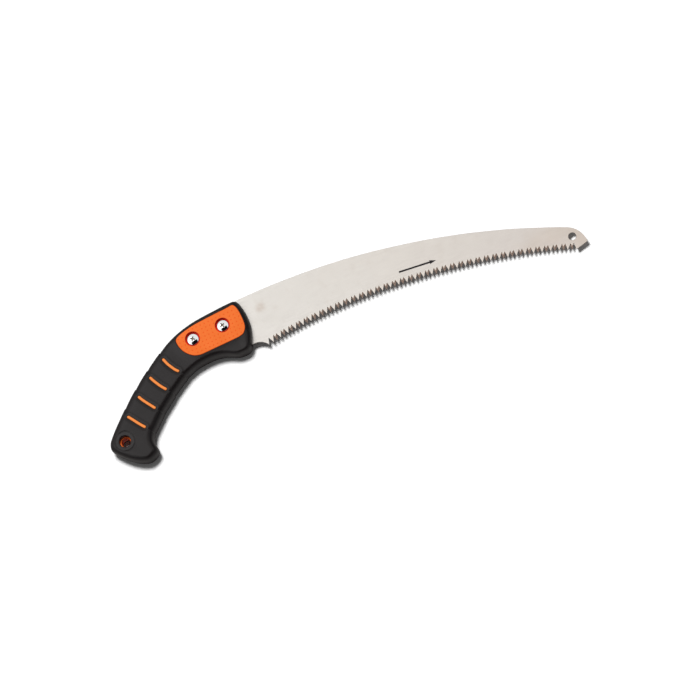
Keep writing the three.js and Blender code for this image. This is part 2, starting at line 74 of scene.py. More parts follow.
# ---------------------------------------------------------------- profile data
HANDLE = np.array([
    22.8, 18.1, 19.0, 12.6, 19.7, 20.4, 18.5, 14.4, 15.1, 20.7, 15.3, 15.0, 7.6, 20.5, 7.9, 15.0,
    -0.5, 20.1, -0.2, 14.7, -8.6, 19.7, -8.2, 14.3, -16.7, 19.2, -16.2, 13.7, -24.8, 18.5, -24.1, 12.9,
    -32.9, 17.3, -31.8, 11.4, -40.8, 15.6, -39.3, 8.8, -48.5, 13.2, -46.2, 5.1, -56.2, 10.2, -52.7, 0.6,
    -63.6, 6.9, -59.0, -4.0, -70.8, 3.1, -65.5, -8.4, -77.8, -1.0, -72.0, -12.6, -84.7, -5.2, -78.7, -16.8,
    -91.4, -9.6, -85.3, -21.1, -98.2, -14.1, -91.8, -25.5, -104.8, -18.9, -98.3, -30.1, -111.4, -23.8, -104.6, -34.8,
    -117.8, -28.8, -110.8, -39.6, -124.1, -34.1, -116.9, -44.7, -130.2, -39.4, -122.8, -49.8, -136.2, -44.9, -128.7, -55.2,
    -142.2, -50.5, -134.6, -60.5, -147.8, -56.2, -139.5, -65.1, -152.1, -61.0, -143.2, -68.3, -154.2, -65.1, -144.7, -70.2,
    -154.7, -69.0, -145.0, -71.5, -153.8, -71.4, -144.6, -72.9, -151.6, -74.8, -143.1, -74.8, -149.1, -77.8, -141.2, -77.1,
    -146.0, -81.3, -138.7, -80.2, -140.5, -86.7, -133.9, -85.1, -133.9, -91.6, -128.3, -89.3, -127.1, -94.9, -124.7, -90.3,
    -122.4, -95.8, -122.5, -91.0, -118.1, -94.8, -121.3, -90.8, -114.2, -93.2, -120.0, -90.9, -111.1, -90.7, -118.5, -90.1,
    -110.4, -88.0, -118.6, -88.2, -111.0, -83.9, -119.0, -85.4, -111.1, -79.0, -118.6, -81.9, -109.8, -74.8, -117.7, -75.5,
    -107.2, -71.0, -114.6, -69.1, -101.9, -65.8, -108.8, -63.0, -95.9, -60.4, -102.6, -57.3, -89.8, -55.2, -96.0, -51.7,
    -83.3, -50.2, -89.3, -46.5, -76.7, -45.5, -82.5, -41.6, -70.2, -40.9, -75.7, -36.9, -63.4, -36.5, -68.5, -32.2,
    -56.4, -32.5, -60.6, -27.8, -49.2, -29.4, -52.3, -24.3, -41.6, -27.1, -43.3, -21.8, -33.8, -25.9, -34.1, -20.6,
    -25.8, -25.5, -24.9, -20.5, -18.1, -26.2, -15.6, -21.9, -10.7, -28.1, -6.9, -24.7, -4.9, -30.7, -0.5, -28.4,
    0.4, -33.4, 4.3, -31.0, 5.0, -34.4, 7.3, -31.3, 9.5, -34.4, 9.4, -30.9, 13.8, -33.8, 10.6, -31.5,
    17.1, -31.5, 12.2, -31.5, 19.5, -27.9, 14.0, -29.5, 21.5, -23.3, 15.7, -25.7, 23.8, -16.1, 18.1, -19.5,
    25.5, -8.5, 19.6, -12.1, 26.1, -0.5, 20.2, -4.6, 25.6, 7.3, 19.9, 2.6, 24.4, 13.5, 19.4, 8.4]).reshape(-1, 4)
PAD = np.array([
    [16.9, 14.9], [18.6, 12.8], [19.4, 10.7], [20.3, 5.6], [20.6, 0.4], [20.6, -4.9], [20.0, -10.1], [19.1, -12.7],
    [17.8, -14.8], [16.0, -16.7], [13.8, -17.9], [11.3, -18.5], [8.8, -18.7], [-27.9, -19.0], [-31.6, -18.9], [-36.5, -17.7],
    [-40.9, -15.1], [-44.6, -11.4], [-47.4, -7.0], [-49.2, -2.1], [-49.9, 3.1], [-49.5, 5.8], [-47.9, 7.6], [-43.2, 9.6],
    [-38.3, 10.9], [-33.4, 11.9], [-28.4, 12.7], [-18.4, 13.5], [-8.3, 14.0], [1.8, 14.4], [11.9, 14.8], [14.7, 15.2]])[::-1]
RIDGES = [
    np.array([[-68.8, -6.5], [-68.0, -9.2], [-66.5, -13.1], [-64.5, -16.9], [-62.4, -20.6], [-59.9, -23.7]]),
    np.array([[-88.3, -18.4], [-86.9, -21.8], [-84.0, -27.5], [-81.8, -31.3], [-78.8, -35.5]]),
    np.array([[-106.8, -31.8], [-105.1, -35.3], [-101.9, -40.7], [-99.5, -44.4], [-96.7, -48.7]]),
    np.array([[-124.8, -46.2], [-121.4, -51.3], [-118.0, -56.7], [-113.7, -62.7]])]
# Each ridge line carried on to both edges of the grip, where the step in the
# rubber runs out as a small notch.
STEPS = [
    np.vstack([[[-66.9, 10.7], [-69.6, 2.7], [-70.1, -2.4]], RIDGES[0], [[-55.3, -29.8], [-53.5, -31.1], [-50.3, -34.6]]]),
    np.vstack([[[-85.6, -0.7], [-88.4, -9.0], [-89.0, -15.0]], RIDGES[1], [[-73.8, -41.8], [-70.6, -44.2], [-67.3, -47.0]]]),
    np.vstack([[[-104.3, -13.6], [-107.2, -22.3], [-107.7, -28.5]], RIDGES[2], [[-92.1, -55.1], [-88.0, -58.7], [-84.2, -62.1]]]),
    np.vstack([[[-121.7, -28.1], [-124.9, -37.3], [-125.7, -43.5]], RIDGES[3], [[-108.5, -69.8], [-104.5, -72.6], [-100.1, -76.1]]])]
SLOT = np.array([
    [-48.3, -1.0], [-47.3, -6.5], [-44.0, -10.8], [-39.2, -12.7], [-20.0, -13.1], [-0.2, -14.2], [6.2, -16.9],
    [10.0, -20.7], [13.5, -26.6], [16.4, -28.8], [20.7, -29.1], [45.0, -29.1], [45.0, 29.0], [18.0, 29.0],
    [17.7, 20.4], [17.0, 13.0], [0.0, 12.7], [-20.0, 12.3], [-38.3, 11.2], [-43.6, 9.1], [-47.2, 4.9]])
TOOTH_LINE = np.array([
    [35.1, -35.9], [55.8, -33.6], [77.8, -32.3], [101.8, -31.8], [125.8, -32.2], [149.9, -33.5], [173.9, -35.6],
    [197.9, -38.6], [222.0, -42.3], [246.0, -46.9], [270.0, -52.2], [294.1, -58.5], [318.2, -65.6], [340.2, -73.2],
    [358.4, -80.2]])
BACK = np.array([
    [371.2, -70.7], [368.9, -64.9], [365.3, -59.8], [360.4, -55.9], [354.9, -53.1], [349.4, -50.4], [338.3, -45.4],
    [312.2, -34.1], [289.3, -25.3], [266.2, -17.2], [242.9, -9.9], [219.3, -3.3], [195.8, 2.3], [171.9, 7.5],
    [148.1, 11.8], [124.0, 15.3], [99.9, 17.9], [75.8, 19.8], [51.6, 21.0], [27.4, 21.4], [20.8, 21.3]])
TANG_LOWER = np.array([
    [-47.8, -1.0], [-46.8, -6.2], [-43.7, -10.3], [-39.1, -12.2], [-20.0, -12.6], [-0.1, -13.6], [6.6, -16.4],
    [10.5, -20.3], [14.0, -26.0], [16.7, -28.1], [20.4, -28.3], [24.6, -28.5], [28.5, -29.8], [32.0, -32.2],
    [35.1, -35.9]])
TANG_UPPER = np.array([
    [18.6, 20.0], [17.6, 12.5], [0.0, 12.2], [-20.0, 11.8], [-38.2, 10.7], [-43.2, 8.7], [-46.7, 4.6]])


# --------------------------------------------------------------------- curves
def spline(P, per, closed):
    """Smooth curve through points, centripetal parameter, `per` steps a span."""
    P = np.asarray(P, float)
    n = len(P)
    Q = np.vstack([P, P[:1]]) if closed else P
    h = np.sqrt(np.linalg.norm(np.diff(Q, axis=0), axis=1))
    m = len(h)
    if closed:
        A = np.zeros((n, n))
        B = np.zeros_like(P)
        for i in range(n):
            a, b = h[i - 1], h[i]
            A[i, i - 1] += a
            A[i, i] += 2 * (a + b)
            A[i, (i + 1) % n] += b
            B[i] = 6 * ((P[(i + 1) % n] - P[i]) / b - (P[i] - P[i - 1]) / a)
        S = np.linalg.solve(A, B)
        S = np.vstack([S, S[:1]])
    else:
        A = np.zeros((n, n))
        B = np.zeros_like(P)
        A[0, 0] = A[-1, -1] = 1
        for i in range(1, n - 1):
            a, b = h[i - 1], h[i]
            A[i, i - 1], A[i, i], A[i, i + 1] = a, 2 * (a + b), b
            B[i] = 6 * ((P[i + 1] - P[i]) / b - (P[i] - P[i - 1]) / a)
        S = np.linalg.solve(A, B)
    out = []
    for i in range(m):
        for t in np.arange(per) / per:
            u = t * h[i]
            v = h[i] - u
            out.append(S[i] * v ** 3 / (6 * h[i]) + S[i + 1] * u ** 3 / (6 * h[i])
                       + (Q[i] / h[i] - S[i] * h[i] / 6) * v + (Q[i + 1] / h[i] - S[i + 1] * h[i] / 6) * u)
    if not closed:
        out.append(Q[-1])
    return np.array(out)


def nearest(px, py, line, closed):
    """Distance from each point to a polyline, with the segment and fraction."""
    a = line if closed else line[:-1]
    b = np.roll(line, -1, 0) if closed else line[1:]
    d = (b - a).astype(np.float32)
    a = a.astype(np.float32)
    L2 = np.maximum((d ** 2).sum(1), 1e-9)
    px, py = np.asarray(px, np.float32).ravel(), np.asarray(py, np.float32).ravel()
    D, I, T = np.empty(len(px), np.float32), np.empty(len(px), np.int32), np.empty(len(px), np.float32)
    step = max(1, 4_000_000 // len(a))
    for s in range(0, len(px), step):
        X = px[s:s + step, None] - a[:, 0]
        Y = py[s:s + step, None] - a[:, 1]
        t = np.clip((X * d[:, 0] + Y * d[:, 1]) / L2, 0, 1)
        q = (X - t * d[:, 0]) ** 2 + (Y - t * d[:, 1]) ** 2
        i = q.argmin(1)
        r = np.arange(len(i))
        D[s:s + step], I[s:s + step], T[s:s + step] = np.sqrt(q[r, i]), i, t[r, i]
    return D, I, T


def inside_grid(gx, gy, poly):
    """True at grid points inside a closed polygon, row by row."""
    out = np.zeros((len(gy), len(gx)), bool)
    a, b = poly, np.roll(poly, -1, 0)
    for j, y in enumerate(gy):
        m = (a[:, 1] > y) != (b[:, 1] > y)
        xs = np.sort(a[m, 0] + (y - a[m, 1]) * (b[m, 0] - a[m, 0]) / (b[m, 1] - a[m, 1]))
        out[j] = (np.searchsorted(xs, gx) % 2) == 1
    return out


def signed_grid(gx, gy, poly):
    X, Y = np.meshgrid(gx, gy)
    D, I, T = nearest(X, Y, poly, True)
    s = np.where(inside_grid(gx, gy, poly), 1, -1)
    return D.reshape(X.shape) * s, I.reshape(X.shape), T.reshape(X.shape)


def smooth01(t):
    t = np.clip(t, 0, 1)
    return t * t * (3 - 2 * t)


def both(a, b, r):
    """Intersection of two fields with a rounded outer edge of radius r."""
    return np.minimum(np.maximum(a, b), -r) + np.hypot(np.maximum(a + r, 0), np.maximum(b + r, 0))


def either(a, b, r):
    """Union of two fields with a fillet of radius r."""
    return np.maximum(np.minimum(a, b), r) - np.hypot(np.maximum(r - a, 0), np.maximum(r - b, 0))


# ------------------------------------------------------ fields over the plane
FINE = 0.25
gx = np.arange(-158.0, 30.01, FINE)
gy = np.arange(-99.5, 25.01, FINE)
GX, GY = np.meshgrid(gx, gy)

per = 4
outline = spline(HANDLE[:, :2], per, True)
width = spline(np.c_[np.hypot(HANDLE[:, 0] - HANDLE[:, 2], HANDLE[:, 1] - HANDLE[:, 3]), np.zeros(len(HANDLE))], per, True)[:, 0]
width = width * (1 + 0.28 * smooth01((outline[:, 0] - 17) / 5) * smooth01((outline[:, 1] + 30) / 8))
for _ in range(12):
    width = (np.roll(width, 1) + 2 * width + np.roll(width, -1)) / 4
outline[:, 0] += 0.55 * np.exp(-((outline[:, 1] + 13) / 10) ** 2) * (outline[:, 0] > 17)
outline[:, 0] += 0.16 * smooth01((-148 - outline[:, 0]) / 5)
d_out, seg, frac = signed_grid(gx, gy, outline)
w_field = width[seg] * (1 - frac) + np.roll(width, -1)[seg] * frac
# Roundness of the edge section: fuller round the pad, squarer along the grip.
power = 2.3 + 0.8 * np.maximum(smooth01((-35 - outline[:, 0]) / 25), smooth01((-12 - outline[:, 1]) / 10))
p_field = power[seg] * (1 - frac) + np.roll(power, -1)[seg] * frac
pad_line = spline(PAD, 4, True)
pad_line[:, 0] += 0.70 * smooth01((pad_line[:, 0] - 12) / 3)
d_pad = signed_grid(gx, gy, pad_line)[0]
d_slot = signed_grid(gx, gy, SLOT)[0]

RIDGE_R = 1.45
for k, line in enumerate(RIDGES):
    along_ = (line[-1] - line[0]) / np.linalg.norm(line[-1] - line[0])
    RIDGES[k] = line + 0.5 * along_ + 0.35 * np.array([along_[1], -along_[0]])
d_ridge = np.full(GX.shape, 99.0, np.float32)
side = []
for k, line in enumerate(RIDGES):
    c = spline(line, 6, False)
    D, _, _ = nearest(GX, GY, c, False)
    d_ridge = np.minimum(d_ridge, D.reshape(GX.shape) - RIDGE_R)
for k, line in enumerate(STEPS):
    c = spline(line, 5, False)
    D, I, T = nearest(GX, GY, c, False)
    t = np.diff(c, axis=0)[I]
    v = np.c_[GX.ravel(), GY.ravel()] - c[I]
    s = np.sign(t[:, 0] * v[:, 1] - t[:, 1] * v[:, 0])
    side.append((D * s).reshape(GX.shape))      # positive towards the blade

# Soft panels of the grip: each one stands a little proud of the panel nearer
# the blade, and each ridge sits in a shallow dish.
STEP_H = 0.55
DISH = 0.60
near_side = np.full(GX.shape, -1.0)
best = np.full(GX.shape, 1e9)
for k in range(4):
    closer = np.abs(side[k]) < best
    best = np.where(closer, np.abs(side[k]), best)
    near_side = np.where(closer, np.sign(side[k]), near_side)
reach = np.where(near_side > 0, 2.5, 3.2)
near_dist = np.where(near_side > 0, best, -best)
blade_side = smooth01((near_dist + 0.8) / 1.6)
dish = 0.36 * (1 - smooth01((d_ridge - 1.15) / 1.45)) * blade_side + DISH * (1 - smooth01((d_ridge - 0.35) / reach)) * (1 - blade_side)
away = smooth01((d_ridge - 1.0) / 3.2)          # 0 beside a ridge, 1 clear of it
step_drop = np.zeros(GX.shape)
for k in range(4):
    q = side[k] + 2.2 * (1 - away) + 0.5
    fall_ = smooth01((q + 0.9) / 1.5) * np.exp(-np.maximum(q - 0.6, 0) / 4.5)
    step_drop = np.maximum(step_drop, STEP_H * fall_ * away)
lip = 0.16 * np.exp(-((d_ridge - 3.0) / 1.1) ** 2) * (near_side > 0)
groove = (0.45 * smooth01((d_pad + 24) / 14) - 0.98 * np.clip(1 + d_pad / 9, 0, 1) ** 2) * (d_pad < 0.6) * smooth01((15 - GX) / 8) * smooth01((8 - GY) / 8)
hang_r = np.hypot(GX - HANG[0], GY - HANG[1])
ring = 0.55 * np.exp(-((hang_r - 10.35) / 0.45) ** 2) + 0.12 * smooth01((10.4 - hang_r) / 5.0)
gate_r = np.hypot(GX + 129.5, GY + 77.9)
ring = ring + 0.12 * np.exp(-((gate_r - 1.6) / 0.35) ** 2)
relief = (np.maximum(step_drop, dish) - lip + ring + groove).astype(np.float32)

# Dot texture of the pads: a near-square grid of small dimples.
dx = (GX + 11.7) / 4.4
dy = (GY - 1.2) / 4.21
dot_r = np.hypot((dx - np.round(dx)) * 4.4, (dy - np.round(dy)) * 4.21)
clear = np.minimum(np.hypot(GX - FRONT[0], GY - FRONT[1]), np.hypot(GX - REAR[0], GY - REAR[1]))
dots = (1 - smooth01((dot_r - 0.35) / 0.45)) * (clear > 8.4) * (d_pad > 1.6)
pad_relief = (0.30 * dots).astype(np.float32)


def pick(field, x, y):
    u = np.clip((x - gx[0]) / FINE, 0, len(gx) - 1.001)
    v = np.clip((y - gy[0]) / FINE, 0, len(gy) - 1.001)
    i, j = u.astype(int), v.astype(int)
    a, b = u - i, v - j
    return (field[j, i] * (1 - a) + field[j, i + 1] * a) * (1 - b) + (field[j + 1, i] * (1 - a) + field[j + 1, i + 1] * a) * b


# ------------------------------------------------------------ handle as fields
GRIP_Z = 12.4


class Sampler:
    """Plane fields read at any set of points."""

    def __init__(self, x, y):
        self.out, self.w, self.p = pick(d_out, x, y), pick(w_field, x, y), pick(p_field, x, y)
        self.pad, self.slot, self.ridge = pick(d_pad, x, y), pick(d_slot, x, y), pick(d_ridge, x, y)
        self.relief, self.dots = pick(relief, x, y), pick(pad_relief, x, y)
        self.hang = np.hypot(x - HANG[0], y - HANG[1])
        self.front = np.hypot(x - FRONT[0], y - FRONT[1])
        self.rear = np.hypot(x - REAR[0], y - REAR[1])


def slab(s, z):
    """Rounded slab of the handle, close to a distance near its surface."""
    w = np.maximum(s.w, 2.5)
    t = np.minimum(s.out / w, 1.0)
    a = 1 - t
    b = np.abs(z) / GRIP_Z
    a_ = np.maximum(a, 1e-4)
    b_ = np.maximum(b, 1e-4)
    f = (a_ ** s.p + b_ ** s.p) ** (1 / s.p)
    ga = (a_ / f) ** (s.p - 1) / w * (t < 1.0)
    gb = (b_ / f) ** (s.p - 1) / GRIP_Z
    return (f - 1) / np.maximum(np.sqrt(ga ** 2 + gb ** 2), 1 / 16.0)


def grip_field(s, z):
    base = slab(s, z)
    m = base + s.relief
    az = np.abs(z)
    m = both(m, s.pad + 0.10, 0.40)                         # pad window
    m = both(m, 0.12 - s.ridge, 0.35)                       # ridge windows
    collar = np.maximum(s.hang - 8.2, 6.4 - az)             # soft collar of the hang hole
    m = both(m, -np.maximum(base + 2.15, -collar), 0.05)    # cavity for the core
    m = both(m, 5.9 - s.hang, 0.9)                          # hang hole
    m = both(m, -np.maximum(-s.slot, az - 0.85), 0.25)      # blade slot
    return m


def core_field(s, z):
    az = np.abs(z)
    m = slab(s, z) + 2.25
    top = az - 12.997 + s.dots + 0.16 * smooth01((5.0 - s.pad) / 5.0)
    m = np.minimum(m, both(-s.pad, top, 0.55))
    m = np.minimum(m, both(s.ridge, az - 12.62, 0.95))
    m = both(m, -np.maximum(-s.slot, az - 0.80), 0.1)
    for r in (s.front, s.rear):
        m = both(m, 4.1 - r, 0.1)
        bore = np.where(z > 0, np.maximum(7.45 - r, 9.6 - z), np.maximum(7.45 - r, 10.62 + z))
        cut = np.where(z > 0, np.maximum(r - 7.45, 9.6 - z), np.maximum(r - 7.45, 10.62 + z))
        m = both(m, -cut, 0.35)
    m = both(m, -np.maximum(s.hang - 8.3, 6.3 - az), 0.1)
    m = both(m, 4.8 - s.hang, 0.7)
    return m


# ------------------------------------------------------------------ mesh maker
def mesh_from(name, field, lo, hi, h, passes=2):
    """Closed mesh of field < 0 in a box. field(points) -> values, in mm."""
    n = [int(math.ceil((b - a) / h)) + 1 for a, b in zip(lo, hi)]
    ax = [lo[i] + h * np.arange(n[i]) for i in range(3)]
    X, Y, Z = np.meshgrid(*ax, indexing="ij")
    F = field(X, Y, Z).astype(np.float32)
    F = np.clip(F, -3 * h, 3 * h)
    grid = vdb.FloatGrid(3 * h)
    grid.copyFromArray(np.ascontiguousarray(F))
    points, tris, quads = grid.convertToPolygons(0.0, 0.0)
    P = points.astype(float) * h + np.array(lo)
    for _ in range(passes):
        f0 = field(P[:, 0], P[:, 1], P[:, 2])
        e = 0.04
        g = np.stack([
            field(P[:, 0] + e, P[:, 1], P[:, 2]) - field(P[:, 0] - e, P[:, 1], P[:, 2]),
            field(P[:, 0], P[:, 1] + e, P[:, 2]) - field(P[:, 0], P[:, 1] - e, P[:, 2]),
            field(P[:, 0], P[:, 1], P[:, 2] + e) - field(P[:, 0], P[:, 1], P[:, 2] - e)], 1) / (2 * e)
        L = np.maximum((g ** 2).sum(1), 0.16)
        step = np.clip(f0 / L, -0.5 * h, 0.5 * h)
        P = P - g * step[:, None]
    faces = [tuple(q) for q in quads.tolist()] + [tuple(t) for t in tris.tolist()]
    # outward faces: the signed volume has to be positive
    q = quads if len(quads) else tris
    a, b, c = P[q[:, 0]], P[q[:, 1]], P[q[:, 2]]
    vol = np.einsum("ij,ij->i", a, np.cross(b, c)).sum()
    if len(quads):
        d = P[q[:, 3]]
        vol += np.einsum("ij,ij->i", a, np.cross(c, d)).sum()
    if vol < 0:
        faces = [f[::-1] for f in faces]
    me = bpy.data.meshes.new(name)
    me.from_pydata(to_m(P).tolist(), [], faces)
    me.update()
    me.polygons.foreach_set("use_smooth", np.ones(len(me.polygons), bool))
    ob = bpy.data.objects.new(name, me)
    bpy.context.scene.collection.objects.link(ob)
    return ob


def handle_mesh(name, fn, lo, hi, h):
    def f(x, y, z):
        if x.ndim == 3:                       # dense grid: read the plane once
            s = Sampler(x[:, :, 0], y[:, :, 0])
            for k in vars(s):
                setattr(s, k, getattr(s, k)[:, :, None])
            return fn(s, z)
        return fn(Sampler(x, y), z)
    return mesh_from(name, f, lo, hi, h)


def apply_decimate(ob, target):
    tris = sum(len(p.vertices) - 2 for p in ob.data.polygons)
    if tris <= target:
        return
    m = ob.modifiers.new("reduce", "DECIMATE")
    m.ratio = target / tris
    dg = bpy.context.evaluated_depsgraph_get()
    me = bpy.data.meshes.new_from_object(ob.evaluated_get(dg))
    ob.modifiers.clear()
    ob.data = me
    me.polygons.foreach_set("use_smooth", np.ones(len(me.polygons), bool))


# ------------------------------------------------------------------- materials
def material(name):
    m = bpy.data.materials.new(name)
    m.use_nodes = True
    nt = m.node_tree
    nt.nodes.clear()
    out = nt.nodes.new("ShaderNodeOutputMaterial")
    bsdf = nt.nodes.new("ShaderNodeBsdfPrincipled")
    nt.links.new(bsdf.outputs[0], out.inputs[0])
    return m, nt, bsdf


def srgb(r, g, b):
    f = lambda c: (c / 255 / 12.92) if c / 255 <= 0.04045 else ((c / 255 + 0.055) / 1.055) ** 2.4
    return (f(r), f(g), f(b), 1.0)


def link(nt, value, socket):
    if isinstance(value, bpy.types.NodeSocket):
        nt.links.new(value, socket)
    else:
        socket.default_value = value


def math_node(nt, op, *args):
    n = nt.nodes.new("ShaderNodeMath")
    n.operation = op
    for i, a in enumerate(args):
        link(nt, a, n.inputs[i])
    return n.outputs[0]


def object_coords(nt, scale=(1, 1, 1)):
    tc = nt.nodes.new("ShaderNodeTexCoord")
    mp = nt.nodes.new("ShaderNodeMapping")
    mp.inputs["Scale"].default_value = scale
    nt.links.new(tc.outputs["Object"], mp.inputs[0])
    return mp.outputs[0]


def noise(nt, vec, scale, detail=3.0, rough=0.6):
    n = nt.nodes.new("ShaderNodeTexNoise")
    n.inputs["Scale"].default_value = scale
    n.inputs["Detail"].default_value = detail
    n.inputs["Roughness"].default_value = rough
    nt.links.new(vec, n.inputs["Vector"])
    return n.outputs["Fac"]


def ramp(nt, fac, stops):
    r = nt.nodes.new("ShaderNodeValToRGB")
    e = r.color_ramp.elements
    while len(e) < len(stops):
        e.new(0.5)
    for i, (p, c) in enumerate(stops):
        e[i].position = p
        e[i].color = c
    link(nt, fac, r.inputs[0])
    return r.outputs[0]


def remap(nt, fac, a, b, c, d, smooth=False):
    r = nt.nodes.new("ShaderNodeMapRange")
    if smooth:
        r.interpolation_type = "SMOOTHSTEP"
    for i, v in zip((1, 2, 3, 4), (a, b, c, d)):
        r.inputs[i].default_value = v
    link(nt, fac, r.inputs[0])
    return r.outputs[0]


def mix_colour(nt, fac, a, b, mode="MIX"):
    n = nt.nodes.new("ShaderNodeMix")
    n.data_type = "RGBA"
    n.blend_type = mode
    link(nt, fac, n.inputs[0])
    link(nt, a, n.inputs[6])
    link(nt, b, n.inputs[7])
    return n.outputs[2]


def attribute(nt, name):
    n = nt.nodes.new("ShaderNodeAttribute")
    n.attribute_name = name
    return n.outputs["Fac"]


def bump(nt, height, strength, distance, bsdf):
    b = nt.nodes.new("ShaderNodeBump")
    b.inputs["Strength"].default_value = strength
    b.inputs["Distance"].default_value = distance
    nt.links.new(height, b.inputs["Height"])
    nt.links.new(b.outputs[0], bsdf.inputs["Normal"])


def rubber_material():
    m, nt, b = material("soft_grip_rubber")
    v = object_coords(nt)
    grain = noise(nt, v, 1500, 3.0, 0.6)
    cloud = noise(nt, v, 60, 3.0, 0.5)
    dusty = ramp(nt, cloud, [(0.32, (0.0050, 0.0036, 0.0036, 1)), (0.68, (0.0068, 0.0050, 0.0051, 1))])
    # a lighter tone of the rubber on the collar round the hang hole
    collar_tint_and_painted_glow = mix_colour(nt, attribute(nt, "hang_collar"), dusty, (0.0125, 0.0108, 0.0108, 1))
    # painted glow: red light bounced off the orange core, painted on the rubber wall inside the hang hole
    collar_tint_and_painted_glow = mix_colour(nt, attribute(nt, "hang_wall_painted_glow"), collar_tint_and_painted_glow, (0.085, 0.010, 0.006, 1))
    nt.links.new(collar_tint_and_painted_glow, b.inputs["Base Color"])
    nt.links.new(remap(nt, grain, 0.3, 0.7, 0.34, 0.42), b.inputs["Roughness"])
    bump(nt, grain, 0.35, 0.00010, b)
    b.inputs["Specular IOR Level"].default_value = 0.34
    return m


def orange_material():
    m, nt, b = material("core_orange_plastic")
    tc = nt.nodes.new("ShaderNodeTexCoord")
    v = tc.outputs["Object"]
    sep = nt.nodes.new("ShaderNodeSeparateXYZ")
    nt.links.new(v, sep.inputs[0])
    x, y = sep.outputs[0], sep.outputs[1]
    gx_ = math_node(nt, "MULTIPLY_ADD", x, 1 / 0.0044, (0.1087 + 0.0117) / 0.0044)
    gy_ = math_node(nt, "MULTIPLY_ADD", y, 1 / 0.00421, -(0.0372 + 0.0012) / 0.00421)
    fx = math_node(nt, "MULTIPLY", math_node(nt, "SUBTRACT", gx_, math_node(nt, "ROUND", gx_)), 4.4)
    fy = math_node(nt, "MULTIPLY", math_node(nt, "SUBTRACT", gy_, math_node(nt, "ROUND", gy_)), 4.21)
    rr = math_node(nt, "SQRT", math_node(nt, "ADD", math_node(nt, "MULTIPLY", fx, fx), math_node(nt, "MULTIPLY", fy, fy)))
    dot = remap(nt, rr, 0.42, 0.82, 1.0, 0.0, True)
    dot = math_node(nt, "MULTIPLY", dot, attribute(nt, "pad_field"))
    fine = noise(nt, v, 1600, 3.0, 0.5)
    cloud = noise(nt, v, 45, 2.0, 0.5)
    base = ramp(nt, cloud, [(0.3, (0.690, 0.136, 0.024, 1)), (0.7, (0.735, 0.152, 0.031, 1))])
    # painted shade: the pad's dimples tinted deeper red
    base = mix_colour(nt, math_node(nt, "MULTIPLY", dot, 0.9), base, (0.66, 0.078, 0.009, 1))
    base = mix_colour(nt, attribute(nt, "ridge_top"), base, (0.76, 0.235, 0.058, 1))
    # painted shade: deeper red on the rounded edges of the pads
    base = mix_colour(nt, attribute(nt, "pad_edge_painted_shade"), base, (0.72, 0.085, 0.008, 1))
    # painted shade: the counterbore walls round the screw heads tinted deep red
    base = mix_colour(nt, attribute(nt, "recess"), base, (0.62, 0.022, 0.010, 1))
    # painted shade: the orange wall of the hang hole darkened to deep red further down
    base = mix_colour(nt, attribute(nt, "hole_wall_painted_shade"), base, (0.30, 0.035, 0.016, 1))
    nt.links.new(base, b.inputs["Base Color"])
    nt.links.new(remap(nt, fine, 0.3, 0.7, 0.46, 0.56), b.inputs["Roughness"])
    bump(nt, fine, 0.2, 0.00006, b)
    b.inputs["Specular IOR Level"].default_value = 0.25
    return m


def chrome_material():
    m, nt, b = material("bright_chrome")
    v = object_coords(nt)
    n = noise(nt, v, 900, 2.0, 0.5)
    b.inputs["Metallic"].default_value = 1.0
    bright = ramp(nt, n, [(0.3, (0.90, 0.93, 0.93, 1)), (0.7, (0.97, 0.98, 0.98, 1))])
    # painted reflection: the driver recess tinted brown-grey for the dark and orange surroundings it reflects
    nt.links.new(mix_colour(nt, attribute(nt, "drive"), bright, (0.20, 0.165, 0.125, 1)), b.inputs["Base Color"])
    nt.links.new(remap(nt, n, 0.3, 0.7, 0.05, 0.10), b.inputs["Roughness"])
    bump(nt, noise(nt, v, 260, 2.0, 0.5), 0.12, 0.00012, b)
    return m


def zinc_material():
    m, nt, b = material("zinc_plate")
    v = object_coords(nt)
    n = noise(nt, v, 500, 3.0, 0.5)
    b.inputs["Metallic"].default_value = 1.0
    nt.links.new(ramp(nt, n, [(0.3, (0.58, 0.59, 0.60, 1)), (0.7, (0.72, 0.73, 0.74, 1))]), b.inputs["Base Color"])
    nt.links.new(remap(nt, n, 0.3, 0.7, 0.25, 0.4), b.inputs["Roughness"])
    bump(nt, n, 0.15, 0.00008, b)
    return m


